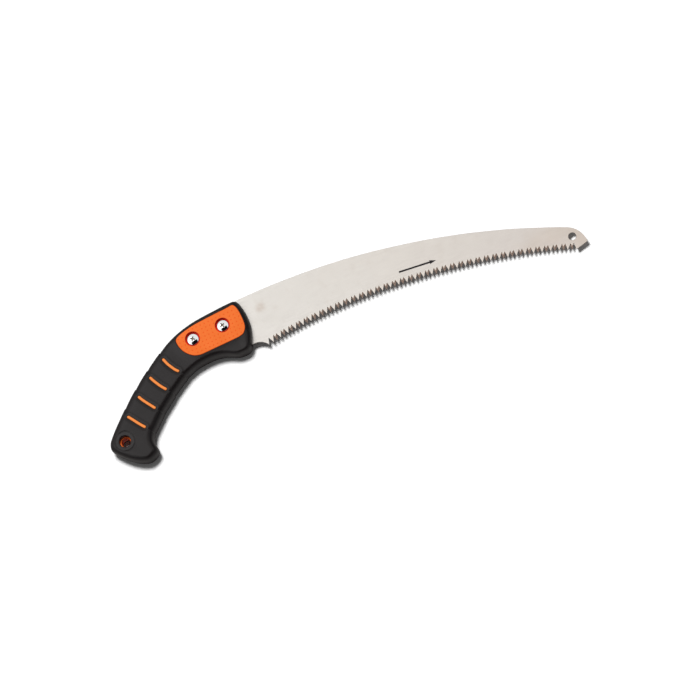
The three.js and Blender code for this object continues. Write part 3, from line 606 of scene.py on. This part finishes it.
def steel_material():
    m, nt, b = material("ground_blade_steel")
    b.inputs["Metallic"].default_value = 1.0
    v = object_coords(nt)
    tc = nt.nodes.new("ShaderNodeTexCoord")
    sep = nt.nodes.new("ShaderNodeSeparateXYZ")
    nt.links.new(tc.outputs["Object"], sep.inputs[0])
    grind = noise(nt, object_coords(nt, (0.05, 1, 1)), 1100, 4.0, 0.65)
    cloud = noise(nt, v, 16, 3.0, 0.55)
    # Tone along the blade: lighter near the handle, painted light against the handle's shade on the blade, and darker
    # and browner towards the tip.
    where = math_node(nt, "ADD", remap(nt, sep.outputs[0], -0.09, 0.26, 0.0, 1.0), remap(nt, cloud, 0.3, 0.7, -0.10, 0.10))
    base = ramp(nt, where, [(0.0, (0.675, 0.645, 0.607, 1)), (0.10, (0.625, 0.597, 0.560, 1)), (0.5, (0.607, 0.569, 0.526, 1)), (0.86, (0.575, 0.530, 0.493, 1)), (1.0, (0.545, 0.478, 0.422, 1))])
    # Faint cloudiness of the ground face, and a brown stain above the heel.
    mottle = noise(nt, v, 95, 4.0, 0.6)
    base = mix_colour(nt, remap(nt, mottle, 0.50, 0.80, 0.0, 0.22, True), base, (0.50, 0.445, 0.395, 1))
    sx = math_node(nt, "MULTIPLY_ADD", sep.outputs[0], 1 / 0.008, 0.0667 / 0.008)
    sy = math_node(nt, "MULTIPLY_ADD", sep.outputs[1], 1 / 0.008, -0.0408 / 0.008)
    sr = math_node(nt, "SQRT", math_node(nt, "ADD", math_node(nt, "MULTIPLY", sx, sx), math_node(nt, "MULTIPLY", sy, sy)))
    stain = math_node(nt, "MULTIPLY", remap(nt, sr, 0.2, 1.0, 0.30, 0.0, True), remap(nt, mottle, 0.35, 0.6, 0.2, 1.0, True))
    base = mix_colour(nt, stain, base, (0.36, 0.24, 0.16, 1))
    base = mix_colour(nt, math_node(nt, "MULTIPLY", attribute(nt, "tooth_tone"), 0.8), base, (0.66, 0.58, 0.51, 1))
    nt.links.new(base, b.inputs["Base Color"])
    nt.links.new(remap(nt, grind, 0.3, 0.7, 0.33, 0.43), b.inputs["Roughness"])
    bump(nt, grind, 0.10, 0.00005, b)
    return m


def bevel_material():
    m, nt, b = material("tooth_bevel_steel")
    b.inputs["Metallic"].default_value = 0.55
    n = noise(nt, object_coords(nt), 700, 3.0, 0.6)
    # painted shade: the ground faces of the teeth coloured dark brown for the dark surroundings these steep faces
    # reflect
    nt.links.new(ramp(nt, n, [(0.3, (0.36, 0.255, 0.200, 1)), (0.7, (0.54, 0.410, 0.335, 1))]), b.inputs["Base Color"])
    nt.links.new(remap(nt, n, 0.3, 0.7, 0.44, 0.56), b.inputs["Roughness"])
    bump(nt, n, 0.10, 0.00005, b)
    return m


def ink_material():
    m, nt, b = material("blade_print_black")
    n = noise(nt, object_coords(nt), 900, 3.0, 0.6)
    nt.links.new(ramp(nt, n, [(0.3, (0.008, 0.007, 0.008, 1)), (0.7, (0.016, 0.013, 0.014, 1))]), b.inputs["Base Color"])
    nt.links.new(remap(nt, n, 0.3, 0.7, 0.45, 0.6), b.inputs["Roughness"])
    b.inputs["Specular IOR Level"].default_value = 0.25
    return m


RUBBER, ORANGE, CHROME, ZINC = rubber_material(), orange_material(), chrome_material(), zinc_material()
STEEL, BEVEL, INK = steel_material(), bevel_material(), ink_material()


def finish_piece(ob, body, replaced, mats):
    index = np.zeros(len(ob.data.polygons), np.int32)
    ob.data.polygons.foreach_get("material_index", index)
    ob.data.materials.clear()
    for mt in mats:
        ob.data.materials.append(mt)
    ob.data.polygons.foreach_set("material_index", index)
    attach(ob, body)
    for r in replaced:
        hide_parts(r)
    return ob


def point_values(ob):
    n = len(ob.data.vertices)
    co = np.empty(n * 3, np.float32)
    ob.data.vertices.foreach_get("co", co)
    return co.reshape(-1, 3).astype(float) * 1000.0 - SHIFT


def set_attribute(ob, name, values):
    a = ob.data.attributes.new(name, "FLOAT", "POINT")
    a.data.foreach_set("value", np.asarray(values, np.float32))


# ----------------------------------------------------------------------- blade
BLADE_H = 0.7                     # half thickness
TOOTH_DEPTH, TOOTH_PAIRS, TOOTH_LEAN = 6.7, 37, 0.45
BEVEL_HALF, BEVEL_TIP = 0.58, 3.5


def catmull(P, per):
    """Centripetal Catmull-Rom through points, sampled `per` steps a span."""
    P = np.asarray(P, float)
    Q = np.vstack([2 * P[0] - P[1], P, 2 * P[-1] - P[-2]])
    out = []
    for i in range(1, len(Q) - 2):
        p0, p1, p2, p3 = Q[i - 1], Q[i], Q[i + 1], Q[i + 2]
        a, b, c = (max(np.linalg.norm(v) ** 0.5, 1e-4) for v in (p1 - p0, p2 - p1, p3 - p2))
        m1 = ((p1 - p0) / a - (p2 - p0) / (a + b) + (p2 - p1) / b) * b
        m2 = ((p2 - p1) / b - (p3 - p1) / (b + c) + (p3 - p2) / c) * b
        for t in np.arange(per) / per:
            out.append((2 * t ** 3 - 3 * t ** 2 + 1) * p1 + (t ** 3 - 2 * t ** 2 + t) * m1
                       + (3 * t ** 2 - 2 * t ** 3) * p2 + (t ** 3 - t ** 2) * m2)
    out.append(P[-1])
    return np.array(out)


def arc(line):
    return np.r_[0, np.cumsum(np.linalg.norm(np.diff(line, axis=0), axis=1))]


def along(line, s, S):
    return np.array([np.interp(S, s, line[:, 0]), np.interp(S, s, line[:, 1])])


def tangent(line, s, S):
    v = along(line, s, S + 0.05) - along(line, s, S - 0.05)
    return v / np.linalg.norm(v)


tips_line = catmull(TOOTH_LINE, 80)
ts = arc(tips_line)
root_pts = []
for S in np.linspace(0, ts[-1], 61):
    p = along(tips_line, ts, S)
    t = tangent(tips_line, ts, min(max(S, 0.06), ts[-1] - 0.06))
    root_pts.append([p[0] - t[1] * TOOTH_DEPTH, p[1] + t[0] * TOOTH_DEPTH])
root_line = catmull(root_pts, 40)
rs = arc(root_line)
s_first = float(np.interp(37.7, root_line[:, 0], rs))
s_last = float(np.interp(359.1, root_line[:, 0], rs))
PITCH = (s_last - s_first) / (2 * TOOTH_PAIRS)

near, far, sharp = [], [], []


def both_sides(pts, w):
    for p in pts:
        near.append(np.array(p, float))
        far.append(np.array(p, float))
        sharp.append(w)


heel = spline(TANG_LOWER[8:], 5, False)
both_sides(TANG_LOWER[:8], 0.15)
both_sides(heel[:-1], 0.12)
both_sides(heel[-1:], 0.03)
first_tooth = len(near)
for k in range(2 * TOOTH_PAIRS + 1):
    S = s_first + k * PITCH
    e = -BEVEL_HALF if k % 2 == 0 else BEVEL_HALF
    end = k in (0, 2 * TOOTH_PAIRS)
    near.append(along(root_line, rs, S + e))
    far.append(along(root_line, rs, S + (e if end else -e)))
    sharp.append(0.03)
    if k < 2 * TOOTH_PAIRS:
        p = along(root_line, rs, S + PITCH / 2 - TOOTH_LEAN)
        t = tangent(root_line, rs, S + PITCH / 2 - TOOTH_LEAN)
        tip = lambda d: np.array([p[0] + t[1] * d, p[1] - t[0] * d])
        full, ground = tip(TOOTH_DEPTH), tip(TOOTH_DEPTH - BEVEL_TIP)
        near.append(full if k % 2 == 0 else ground)
        far.append(ground if k % 2 == 0 else full)
        sharp.append(0.03)
last_tooth = len(near)
both_sides([[358.4, -80.2]], 0.03)
both_sides([[371.7, -77.4]], 0.12)
both_sides(spline(np.vstack([[[372.1, -76.2]], BACK]), 4, False), 0.15)
both_sides(TANG_UPPER, 0.15)
near, far, sharp = np.array(near), np.array(far), np.array(sharp)


def circle(x, y, r, n):
    a = -2 * np.pi * np.arange(n) / n
    return np.c_[x + r * np.cos(a), y + r * np.sin(a)]


def inset(loop, w):
    """Points moved into the metal by w; the loop has metal on its left."""
    d = np.roll(loop, -1, 0) - loop
    d = d / np.maximum(np.linalg.norm(d, axis=1), 1e-9)[:, None]
    n = np.c_[-d[:, 1], d[:, 0]]
    m = n + np.roll(n, 1, 0)
    m = m / np.maximum((m * n).sum(1), 0.25)[:, None]
    return loop + m * np.asarray(w)[:, None]


def arrow_outline():
    """Plain direction arrow printed on the blade: shaft and swept head."""
    a, b = np.array([185.1, -23.8]), np.array([224.5, -28.7])
    t = (b - a) / np.linalg.norm(b - a)
    n = np.array([-t[1], t[0]])
    L = np.linalg.norm(b - a)
    prof = [(0, 0.95), (L - 6.6, 0.95), (L - 7.2, 2.15), (L, 0.0)]
    top = [a + t * u + n * v for u, v in prof]
    bot = [a + t * u - n * v for u, v in prof[:-1]][::-1]
    return np.array(top + bot)


def in_poly(p, poly):
    a, b = poly, np.roll(poly, -1, 0)
    m = (a[:, 1] > p[1]) != (b[:, 1] > p[1])
    xs = a[m, 0] + (p[1] - a[m, 1]) * (b[m, 0] - a[m, 0]) / (b[m, 1] - a[m, 1])
    return (xs > p[0]).sum() % 2 == 1


def blade_mesh():
    signed = lambda l: 0.5 * (l[:, 0] * np.roll(l[:, 1], -1) - np.roll(l[:, 0], -1) * l[:, 1]).sum()
    assert signed(near) > 0
    holes = [(circle(*TIP_HOLE, 3.9, 64), 0.32), (circle(*FRONT, 4.3, 40), 0.1), (circle(*REAR, 4.3, 40), 0.1)]
    co, faces, mats, tone = [], [], [], []

    def add(pts, z, tn):
        i = len(co)
        for p, t in zip(pts, tn):
            co.append((p[0], p[1], z))
            tone.append(t)
        return i

    in_teeth = np.zeros(len(near))
    in_teeth[first_tooth:last_tooth + 1] = 1
    tipmask = np.zeros(len(near))
    tipmask[first_tooth + 1:last_tooth:2] = 1
    starts = []
    for outline, zs in ((near, 1), (far, -1)):
        w = sharp
        a = add(inset(outline, w), zs * BLADE_H, tipmask)
        tops = [a]
        rings = []
        # outer ring of this side: full outline, a chamfer's depth below the face
        o = len(co)
        for p, ww, t in zip(outline, w, tipmask):
            co.append((p[0], p[1], zs * (BLADE_H - ww)))
            tone.append(t)
        rings.append((a, o, len(outline)))
        hole_rings = []
        for h, ww in holes:
            hi = add(inset(h, np.full(len(h), ww)), zs * BLADE_H, np.zeros(len(h)))
            ho = add(h, zs * (BLADE_H - ww), np.zeros(len(h)))
            hole_rings.append((hi, ho, len(h)))
        # cap
        loop_pts = [np.array([co[a + i][:2] for i in range(len(outline))])] + \
                   [np.array([co[hi + i][:2] for i in range(n)]) for hi, _, n in hole_rings]
        verts, edges, index = [], [], []
        for (start, n), pts in zip([(a, len(outline))] + [(hi, n) for hi, _, n in hole_rings], loop_pts):
            v0 = len(verts)
            verts += [Vector(p) for p in pts]
            index += [start + i for i in range(n)]
            edges += [(v0 + i, v0 + (i + 1) % n) for i in range(n)]
        band = []
        for S in np.linspace(s_first + 2, s_last - 2, 160):
            p, t = along(root_line, rs, S), tangent(root_line, rs, S)
            band.append(p + np.array([-t[1], t[0]]) * 1.5)
        v0 = len(verts)
        verts += [Vector(p) for p in band]
        edges += [(v0 + i, v0 + i + 1) for i in range(len(band) - 1)]
        extra = {v0 + i: (p, 0.0) for i, p in enumerate(band)}
        arrow = arrow_outline() if zs > 0 else None
        if arrow is not None:
            v0 = len(verts)
            verts += [Vector(p) for p in arrow]
            edges += [(v0 + i, v0 + (i + 1) % len(arrow)) for i in range(len(arrow))]
        from mathutils.geometry import delaunay_2d_cdt
        V, _, F, OV, _, _ = delaunay_2d_cdt(verts, edges, [], 0, 1e-5)
        where = {}
        for i, src in enumerate(OV):
            known = [s for s in src if s < len(index)]
            if known:
                where[i] = index[known[0]]
            else:
                where[i] = len(co)
                co.append((V[i][0], V[i][1], zs * BLADE_H))
                tone.append(0.0)
        for f in F:
            c = np.mean([[V[i][0], V[i][1]] for i in f], axis=0)
            if not in_poly(c, loop_pts[0]) or any(in_poly(c, h) for h in loop_pts[1:]):
                continue
            P = [np.array([V[i][0], V[i][1]]) for i in f]
            ar = (P[1][0] - P[0][0]) * (P[2][1] - P[0][1]) - (P[2][0] - P[0][0]) * (P[1][1] - P[0][1])
            if abs(ar) < 1e-9:
                continue
            g = [where[i] for i in f]
            if (ar > 0) != (zs > 0):
                g = g[::-1]
            faces.append(g)
            mats.append(2 if arrow is not None and in_poly(c, arrow) else 0)
        # chamfers
        for hi, ho, n in rings + hole_rings:
            for i in range(n):
                j = (i + 1) % n
                g = [hi + i, ho + i, ho + j, hi + j]
                faces.append(g if zs > 0 else g[::-1])
                mats.append(0)
        starts.append([r for r in rings] + hole_rings)
    for (_, on, n), (_, of, _) in zip(*starts):
        for i in range(n):
            j = (i + 1) % n
            faces.append([on + i, of + i, of + j, on + j])
            tooth = n == len(near) and first_tooth - 1 <= i < last_tooth
            mats.append(1 if tooth else 0)
    me = bpy.data.meshes.new("blade_steel_plate")
    me.from_pydata(to_m(np.array(co)).tolist(), [], faces)
    me.polygons.foreach_set("material_index", np.array(mats, np.int32))
    att = me.attributes.new("tooth_tone", "FLOAT", "POINT")
    att.data.foreach_set("value", np.array(tone, np.float32))
    me.update()
    ob = bpy.data.objects.new("blade_steel_plate", me)
    bpy.context.scene.collection.objects.link(ob)
    return ob


# ------------------------------------------------------------------- fasteners
HEAD_UNDER, HEAD_TOP, HEAD_R = 10.5, 12.75, 6.4


def turn(x, y, a):
    c, s = math.cos(a), math.sin(a)
    return x * c - y * s, x * s + y * c


def head_field(x, y, z, under, turned, arms, wide, deep):
    """Domed head over `under`, with a four-armed driver recess."""
    r = np.hypot(x, y)
    h = HEAD_TOP - (under + 0.55)
    R = (HEAD_R ** 2 + h ** 2) / (2 * h)
    dome = np.hypot(r, z - (HEAD_TOP - R)) - R
    m = both(both(dome, r - HEAD_R, 0.35), under - z, 0.12)
    u, v = turn(x, y, -turned)
    d = HEAD_TOP - z
    k = np.clip(1 - d / deep, 0, 1)
    arm = np.minimum(both(np.abs(u) - (0.9 + (arms - 0.9) * k), np.abs(v) - (0.30 + (wide - 0.30) * k), 0.12),
                     both(np.abs(v) - (0.9 + (arms - 0.9) * k), np.abs(u) - (0.30 + (wide - 0.30) * k), 0.12))
    centre = r - 1.25 * np.clip(1.15 - d / deep, 0, 1.2)
    cut = either(arm, centre, 0.35) * 0.86
    cut = np.maximum(cut, d - deep)
    return both(m, -cut, 0.12)


def screw_field(x, y, z):
    r = np.hypot(x, y)
    a = np.arctan2(y, x)
    lead = (z / 0.8 - a / (2 * np.pi)) % 1.0
    tri = np.abs(lead - 0.5) * 2
    crest = 2.46 - 0.40 * tri
    fade = smooth01((z - 6.6) / 0.8)
    rr = crest * (1 - fade) + 2.30 * fade
    shank = np.maximum((r - rr) * 0.75, z - 11.5)
    shank = both(shank, both(-6.5 - z, (r - 2.35 + (-6.5 - z) + 0.55) * 0.7, 0.02), 0.02)
    head = head_field(x, y, z, HEAD_UNDER, 0.32, 3.3, 0.62, 1.6)
    return np.minimum(head, shank)


def rear_screw_field(x, y, z):
    x2, y2 = turn(x, y, -0.62)
    return screw_field(x2, y2, z)


def nut_field(x, y, z):
    r = np.hypot(x, y)
    head = head_field(x, -y, -z, 10.65, 0.32, 3.3, 0.62, 1.6)
    barrel = both(r - 4.0, z - 7.0, 0.25)
    barrel = np.maximum(barrel, -11.6 - z)
    m = np.minimum(head, barrel)
    bore = np.maximum(r - 2.6 - 0.5 * np.clip(z - 6.5, 0, 1), -8.5 - z)
    return both(m, -bore, 0.05)


def local(fn, cx):
    return lambda x, y, z: fn(x - cx, y, z)


def washer_mesh(name, cx):
    prof = [(2.75, 9.78), (2.88, 9.65), (6.02, 9.65), (6.2, 9.83), (6.2, 10.27), (6.02, 10.45), (2.88, 10.45), (2.75, 10.32)]
    n = 96
    co, faces = [], []
    for i in range(n):
        a = 2 * math.pi * i / n
        co += [(cx + r * math.cos(a), r * math.sin(a), z) for r, z in prof]
    m = len(prof)
    for i in range(n):
        for j in range(m):
            a, b = i * m + j, i * m + (j + 1) % m
            c, d = ((i + 1) % n) * m + (j + 1) % m, ((i + 1) % n) * m + j
            faces.append([a, d, c, b])
    me = bpy.data.meshes.new(name)
    me.from_pydata(to_m(np.array(co)).tolist(), [], faces)
    me.update()
    ob = bpy.data.objects.new(name, me)
    bpy.context.scene.collection.objects.link(ob)
    return ob

# ---------------------------------------------------------------------- handle
grip = handle_mesh("grip_rubber", grip_field, (-157.3, -98.9, -14.2), (28.7, 23.3, 14.2), 0.5)
apply_decimate(grip, 190000)
P = point_values(grip)
s_ = Sampler(P[:, 0], P[:, 1])
set_attribute(grip, "hang_collar", (1 - smooth01((s_.hang - 9.9) / 0.3)) * (np.abs(P[:, 2]) > 11.2) * (s_.hang > 6.2))
# mask for the painted red glow on the rubber wall inside the hang hole
set_attribute(grip, "hang_wall_painted_glow", (1 - smooth01((s_.hang - 6.1) / 0.5)) * (1 - smooth01((np.abs(P[:, 2]) - 10.5) / 1.5)))
finish_piece(grip, "handle", ["soft_grip"], [RUBBER])

core = handle_mesh("core_orange", core_field, (-155.4, -96.9, -14.2), (26.7, 21.2, 14.2), 0.42)
apply_decimate(core, 190000)
P = point_values(core)
s_ = Sampler(P[:, 0], P[:, 1])
bore = np.minimum(s_.front, s_.rear)
# mask of the pad's dimpled field, for the painted shade in the dimples
set_attribute(core, "pad_field", smooth01((s_.pad - 1.3) / 0.6) * smooth01((bore - 8.6) / 0.5))
# mask for the painted shade on the pads' rounded edges
set_attribute(core, "pad_edge_painted_shade", (1 - smooth01((s_.pad - 0.05) / 0.5)) * (s_.pad > -2) * (np.abs(P[:, 2]) > 10.6))
set_attribute(core, "ridge_top", (s_.ridge < 0.6) * (np.abs(P[:, 2]) > 11.0))
# mask for the painted shade in the counterbores
set_attribute(core, "recess", 1 - smooth01((bore - 7.55) / 0.35))
# mask for the painted shade deeper in the hang hole
set_attribute(core, "hole_wall_painted_shade", (1 - smooth01((s_.hang - 5.6) / 2.0)) * (1 - 0.9 * smooth01((np.abs(P[:, 2]) - 3.5) / 2.0)))
finish_piece(core, "handle", ["handle_core"], [ORANGE])

# ----------------------------------------------------------- blade, fasteners
blade = blade_mesh()
finish_piece(blade, "handle", ["saw_blade"], [STEEL, BEVEL, INK])
H = 0.11
for cad_name, body_name, fn, cx, lo, hi in (
        ("front_screw", "front_screw", screw_field, 0.0, (-6.8, -6.8, -6.9), (6.8, 6.8, 13.1)),
        ("rear_screw", "rear_screw", rear_screw_field, -33.3, (-6.8, -6.8, -6.9), (6.8, 6.8, 13.1)),
        ("front_sleeve_nut", "handle", nut_field, 0.0, (-6.8, -6.8, -13.1), (6.8, 6.8, 7.4)),
        ("rear_sleeve_nut", "handle", nut_field, -33.3, (-6.8, -6.8, -13.1), (6.8, 6.8, 7.4))):
    ob = mesh_from(cad_name + "_chrome", local(fn, cx), (lo[0] + cx, lo[1], lo[2]), (hi[0] + cx, hi[1], hi[2]), H)
    apply_decimate(ob, 60000)
    P = point_values(ob)
    h_ = HEAD_TOP - (HEAD_UNDER + 0.55)
    R_ = (HEAD_R ** 2 + h_ ** 2) / (2 * h_)
    r_ = np.hypot(P[:, 0] - cx, P[:, 1])
    shell_ = HEAD_TOP - R_ + np.sqrt(np.maximum(R_ ** 2 - r_ ** 2, 0))
    # mask of the driver recess, for its painted reflection
    set_attribute(ob, "drive", smooth01((shell_ - np.abs(P[:, 2]) - 0.06) / 0.3) * (np.abs(P[:, 2]) > HEAD_UNDER + 0.3) * (r_ < 4.6))
    finish_piece(ob, body_name, [cad_name], [CHROME])
for cad_name, cx in (("front_washer", 0.0), ("rear_washer", -33.3)):
    finish_piece(washer_mesh(cad_name + "_zinc", cx), cad_name, [cad_name], [ZINC])

# ------------------------------------------------------- floor, light, camera
TH = math.radians(24.4)
RIGHT = Vector((math.cos(TH), -math.sin(TH), 0))
UP = Vector((math.sin(TH), math.cos(TH), 0))
centre = Vector(to_m((107.54, -76.79, 0.0)).tolist())

me = bpy.data.meshes.new("floor")
# The saw rests on its far pad and tips forward, so the floor is nearer to the
# blade's tip than to the butt: a plane through the pad's front edge.
SLOPE, PIVOT = 0.0092, -0.0887
me.from_pydata([(x, y, SLOPE * (x - PIVOT)) for x, y in ((-6, -6), (6, -6), (6, 6), (-6, 6))], [], [(0, 1, 2, 3)])
floor = bpy.data.objects.new("floor", me)
bpy.context.scene.collection.objects.link(floor)
fm, fnt, fb = material("floor_white")
fb.inputs["Base Color"].default_value = (0.94, 0.94, 0.94, 1)
fb.inputs["Roughness"].default_value = 0.9
fb.inputs["Specular IOR Level"].default_value = 0.0
dim = fnt.nodes.new("ShaderNodeBsdfDiffuse")
dim.inputs["Color"].default_value = (0.30, 0.285, 0.28, 1)
path = fnt.nodes.new("ShaderNodeLightPath")
pick_ = fnt.nodes.new("ShaderNodeMixShader")
fnt.links.new(path.outputs["Is Glossy Ray"], pick_.inputs[0])
fnt.links.new(fb.outputs[0], pick_.inputs[1])
fnt.links.new(dim.outputs[0], pick_.inputs[2])
fnt.links.new(pick_.outputs[0], [n for n in fnt.nodes if n.type == "OUTPUT_MATERIAL"][0].inputs[0])
me.materials.append(fm)

DIST = 7.0
TILT = math.radians(17.0)
fall = (RIGHT * 0.53 - UP * 0.85).normalized()
cam_data = bpy.data.cameras.new("camera")
cam_data.sensor_width = 36
cam_data.sensor_fit = "HORIZONTAL"
cam_data.lens = 36 * DIST / 0.7084
cam_data.clip_end = 50
cam = bpy.data.objects.new("camera", cam_data)
bpy.context.scene.collection.objects.link(cam)
lean = Matrix.Rotation(TILT, 3, Vector((0, 0, 1)).cross(fall))
toward = lean @ Vector((0, 0, 1))
rot = Matrix((lean @ RIGHT, lean @ UP, toward)).transposed().to_4x4()
cam.matrix_world = Matrix.Translation(centre + toward * DIST) @ rot
bpy.context.scene.camera = cam

# Key softbox: high up, on the side that the shadow points away from. It
# lights and casts the shadow; the reflections come from the studio dome.
key_dir = (Vector((0, 0, 1)) - fall * 0.215).normalized()
key_data = bpy.data.lights.new("key", "AREA")
key_data.shape = "DISK"
key_data.size = 1.25
key_data.energy = 280
key = bpy.data.objects.new("key", key_data)
bpy.context.scene.collection.objects.link(key)
key.location = centre + key_dir * 5.0
key.rotation_euler = key_dir.to_track_quat("Z", "Y").to_euler()
key.visible_glossy = False

world = bpy.data.worlds.new("studio")
bpy.context.scene.world = world
world.use_nodes = True
wt = world.node_tree
wt.nodes.clear()
wo = wt.nodes.new("ShaderNodeOutputWorld")
tcw = wt.nodes.new("ShaderNodeTexCoord")
ray = wt.nodes.new("ShaderNodeLightPath")


def facing(direction):
    n = wt.nodes.new("ShaderNodeVectorMath")
    n.operation = "DOT_PRODUCT"
    wt.links.new(tcw.outputs["Generated"], n.inputs[0])
    n.inputs[1].default_value = tuple(direction)
    return n.outputs["Value"]


up_ = facing((0, 0, 1))
# The bright part comes down lower on the left than on the right.
right_ = remap(wt, facing(RIGHT), -0.15, 0.45, 0.0, 0.16, True)
dome = remap(wt, math_node(wt, "SUBTRACT", up_, right_), 0.28, 0.48, 0.0, 1.0, True)
# Brighter towards the left, where the main panel hangs.
panel = (Vector((0, 0, 1)) * math.cos(math.radians(26)) - RIGHT * math.sin(math.radians(26))).normalized()
hot = remap(wt, facing(panel), math.cos(math.radians(36)), 1.0, 0.0, 1.0, True)
level = math_node(wt, "MULTIPLY_ADD", hot, 1.15, 0.84)
left = remap(wt, facing(-RIGHT), 0.35, 0.85, 0.0, 1.0, True)
horizon = mix_colour(wt, left, (0.045, 0.072, 0.108, 1), (0.50, 0.48, 0.49, 1))
tone = wt.nodes.new("ShaderNodeCombineColor")
for i in range(3):
    wt.links.new(level, tone.inputs[i])
glow = mix_colour(wt, dome, horizon, tone.outputs[0])
# The dark camera side: a patch of the dome round the camera's own direction,
# and the dim room behind it.
across = Vector((0, 0, 1)).cross(fall)
low = facing(fall * math.cos(math.radians(3)) - Vector((0, 0, 1)) * math.sin(math.radians(3)))
high = facing(Vector((0, 0, 1)) * math.sin(math.radians(37)) - fall * math.cos(math.radians(37)))
beside = remap(wt, math_node(wt, "ABSOLUTE", facing(across)), 0.42, 0.56, 1.0, 0.0, True)
below = math_node(wt, "MULTIPLY", remap(wt, low, 0.0, 0.05, 0.0, 1.0, True), beside)
patch = math_node(wt, "MULTIPLY", below, remap(wt, high, -0.04, 0.04, 0.0, 1.0, True))
glow = mix_colour(wt, math_node(wt, "MULTIPLY", below, 0.93), glow, (0.045, 0.038, 0.037, 1))
glow = mix_colour(wt, patch, glow, (0.004, 0.004, 0.006, 1))


def background(colour, strength):
    n = wt.nodes.new("ShaderNodeBackground")
    link(wt, colour, n.inputs[0])
    n.inputs[1].default_value = strength
    return n.outputs[0]


def mix_shader(fac, a, b):
    n = wt.nodes.new("ShaderNodeMixShader")
    wt.links.new(fac, n.inputs[0])
    wt.links.new(a, n.inputs[1])
    wt.links.new(b, n.inputs[2])
    return n.outputs[0]


soft = background((1.0, 1.0, 1.0, 1), 0.15)
shine = background(glow, 1.0)
plain = background((1.0, 1.0, 1.0, 1), 1.0)
wt.links.new(mix_shader(ray.outputs["Is Camera Ray"], mix_shader(ray.outputs["Is Glossy Ray"], soft, shine), plain), wo.inputs[0])
bpy.context.scene.view_settings.view_transform = "Standard"
